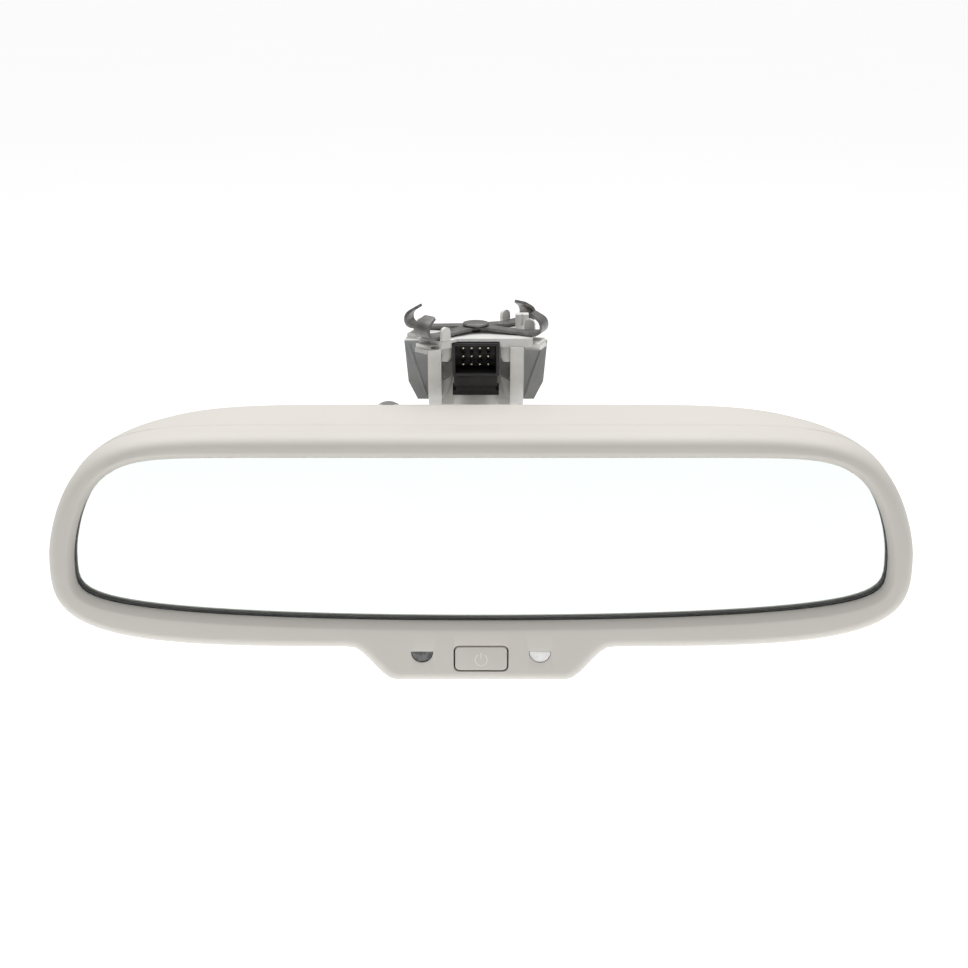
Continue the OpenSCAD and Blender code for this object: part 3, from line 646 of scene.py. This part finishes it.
# how far out, and how high, the middle of a claw runs
clawPath = [
    (-3.0, 0.7), (-1.0, 0.7), (1.2, 0.7), (2.6, 0.75), (3.6, 1.2), (4.2, 2.2), (4.3, 3.4), (3.9, 4.5),
    (3.2, 5.25), (2.3, 5.8), (1.6, 6.2), (1.1, 6.55), (0.7, 6.75),
]
clawWidths = [0.75, 0.86, 1, 1, 1, 1, 1, 0.98, 0.92, 0.84, 0.78, 0.76, 0.66]


armPath = [(0, 1.45), (3, 1.42), (5, 1.38), (8, 1.18), (11, 0.93), (13.5, 0.75), (15.4, 0.7)]
arm = {"width": 4.8 * mm, "thick": 0.75 * mm}


# a grid laid along a path, thickened and rounded
def bentStrip(name, path, widths, rows, thick, edge, segments, angle):
    deselectAll()
    bpy.ops.mesh.primitive_grid_add(x_subdivisions=len(path) - 1, y_subdivisions=rows, size=1)
    piece = bpy.context.object
    piece.name = piece.data.name = name
    for vertex in piece.data.vertices:
        step = round((vertex.co.x + 0.5) * (len(path) - 1))
        vertex.co = (path[step][0], vertex.co.y * widths[step], path[step][1])
    applyModifier(piece, "SUBSURF", levels=2, render_levels=2)
    applyModifier(piece, "SOLIDIFY", thickness=thick, offset=0)
    applyModifier(piece, "BEVEL", width=edge, segments=segments, limit_method="ANGLE",
                  angle_limit=math.radians(45))
    activate(piece)
    piece.rotation_euler.z = math.radians(angle)
    bpy.ops.object.transform_apply(location=True, rotation=True, scale=True)
    return piece


def clawStrip(angle):
    path = [(claw["reach"] + out * mm, plateTop + up * mm) for out, up in clawPath]
    widths = [claw["width"] * share for share in clawWidths]
    return bentStrip("claw", path, widths, 4, claw["thick"], 0.22 * mm, 3, angle)


def springArm(angle):
    path = [(out * mm, plateTop + up * mm) for out, up in armPath]
    return bentStrip("arm", path, [arm["width"]] * len(path), 2, arm["thick"], 0.15 * mm, 2, angle)


clawAngles = [claw["turn"] + side + f * claw["angle"] for side in (0, 180) for f in (-1, 1)]
strips = [clawStrip(angle) for angle in clawAngles] + [springArm(angle) for angle in clawAngles]
clawClip = joined("clawClip", strips)
finishPiece(clawClip, ["claw_clip"], smoothAngle=40)

softCopy("foot_casting", "footCasting", 0.35 * mm, 3)
softCopy("clip_rivet", "clipRivet", 0.5 * mm, 4)
foot = {"gusset": 0.5 * mm, "flange": 1.1 * mm, "block": 3.2 * mm}


# corners run in order round the plate's outline
def solidFrom(name, corners, thickness, axis, edge):
    deselectAll()
    bpy.ops.mesh.primitive_circle_add(vertices=len(corners), fill_type="NGON", radius=0.1)
    piece = bpy.context.object
    piece.name = piece.data.name = name
    for vertex, corner in zip(piece.data.vertices, corners):
        vertex.co = corner
    move = [0, 0, 0]
    move[axis] = thickness
    editAll(piece,
            lambda: bpy.ops.mesh.extrude_region_move(TRANSFORM_OT_translate={"value": move}),
            lambda: bpy.ops.mesh.select_all(action="SELECT"),
            lambda: bpy.ops.mesh.normals_make_consistent(inside=False))
    applyModifier(piece, "BEVEL", width=edge, segments=2, limit_method="ANGLE",
                  angle_limit=math.radians(25))
    return piece


def footDetails():
    made = []
    for side in (-1, 1):
        # thin diagonal gusset on the front of each cheek
        low, high = (14.6, -22.6), (20.4, -7.0)
        run = [(low[0], low[1]), (low[0] + 0.9, low[1] - 0.2),
               (high[0] + 0.6, high[1]), (high[0] - 0.4, high[1] + 0.5)]
        made.append(solidFrom("gusset", [(side * x * mm, -1.05 * mm, z * mm) for x, z in run],
                              -foot["gusset"], 1, 0.12 * mm))
        # pointed flange from the rib towards the plug
        tip = [(10.35, -17.2), (7.3, -15.4), (7.3, -17.9), (8.6, -21.5), (10.35, -22.5)]
        made.append(solidFrom("flange", [(side * x * mm, -4.2 * mm, z * mm) for x, z in tip],
                              foot["flange"], 1, 0.25 * mm))
        # light block between the rib's top and the plug
        block = [(10.3, -5.35), (7.25, -5.35), (7.25, -8.6), (8.2, -10.2), (10.3, -10.2)]
        made.append(solidFrom("block", [(side * x * mm, -9.6 * mm, z * mm) for x, z in block],
                              foot["block"], 1, 0.3 * mm))
    return finishPiece(joined("footDetails", made), [], "mount", "cast_metal")


footDetails()
softCopy("claw_guides", "clawGuides", 0.35 * mm, 3)
softCopy("plug_shell", "plugShell", 0.18 * mm, 2)
softCopy("plug_pins", "plugPins", 0.14 * mm, 2)
softCopy("cable_plug", "cablePlug", 0.25 * mm, 2)
softCopy("cable_boot", "cableBoot", 0.7 * mm, 4)
softCopy("stem_screw", "stemScrew", 0.3 * mm, 3)
softCopy("rear_cap", "rearCap", 0.3 * mm, 3)
print("foot done")


def flatPaint(name, color, rough, glow):
    paint = Paint(name)
    paint.set("Emission Color", (1, 1, 1, 1))
    paint.set("Emission Strength", glow)
    cloud = paint.noise(3, 2)
    paint.set("Base Color", paint.ramp(cloud, 0.3, 0.7, tone(*[c * 0.99 for c in color]), tone(*color)))
    paint.set("Roughness", rough)
    return paint.material


deselectAll()
bpy.ops.mesh.primitive_plane_add(size=30, location=(0, 0, cadBox[0].z - 0.12))
floor = bpy.context.object
floor.name = "floor"
floor.data.materials.append(flatPaint("palePaper", (0.9, 0.9, 0.9), 0.9, glow=0.43))


def studioWorld(front, behind, above):
    world = bpy.data.worlds.new("studio")
    bpy.context.scene.world = world
    world.use_nodes = True
    room = Nodes(world.node_tree)
    facing = room.node("ShaderNodeTexCoord", out="Generated")
    split = room.node("ShaderNodeSeparateXYZ", None, {0: facing})
    depthGlow = room.node("ShaderNodeMapRange", None, {0: split.also("Y"), 1: -0.6, 2: 0.5, 3: front,
                                                       4: behind})
    heightGlow = room.node("ShaderNodeMapRange", None, {0: split.also("Z"), 1: 0.35, 2: 0.9, 3: 0, 4: above})
    background = room.tree.nodes["Background"]
    room.feed(background, "Color", (1, 1, 1, 1))
    room.feed(background, "Strength", depthGlow + heightGlow)


studioWorld(0.08, 0.4, 0.6)


def softBox(name, place, target, size, power):
    light = bpy.data.lights.new(name, "AREA")
    light.shape, light.size, light.size_y, light.energy = "RECTANGLE", size[0], size[1], power
    lamp = bpy.data.objects.new(name, light)
    bpy.context.scene.collection.objects.link(lamp)
    lamp.location = place
    lamp.rotation_euler = (Vector(target) - Vector(place)).to_track_quat("-Z", "Y").to_euler()


middle = (cadBox[0] + cadBox[1]) / 2
softBox("topBox", (0.0, 0.12, 0.85), middle, (1.2, 0.7), 7)
softBox("leftBox", (-0.9, -0.7, 0.35), middle, (0.6, 0.8), 0.3)

camera = {"elevation": 15.5, "distance": 0.640, "fieldOfView": 24.5, "aimUp": 16.7 * mm, "aimSide": 0.86 * mm}
lens = bpy.data.cameras.new("camera")
lens.sensor_width = 36
lens.angle = math.radians(camera["fieldOfView"])
eye = bpy.data.objects.new("camera", lens)
bpy.context.scene.collection.objects.link(eye)
tilt = math.radians(camera["elevation"])
aim = Vector((headX + camera["aimSide"], glassY, glassMidZ + camera["aimUp"]))
back = Vector((0, -math.cos(tilt), math.sin(tilt)))
eye.location = aim + back * camera["distance"]
eye.rotation_euler = (-back).to_track_quat("-Z", "Y").to_euler()
lens.clip_start, lens.clip_end = 0.01, 100
bpy.context.scene.camera = eye
bpy.context.scene.view_settings.view_transform = "Standard"

print("ready")
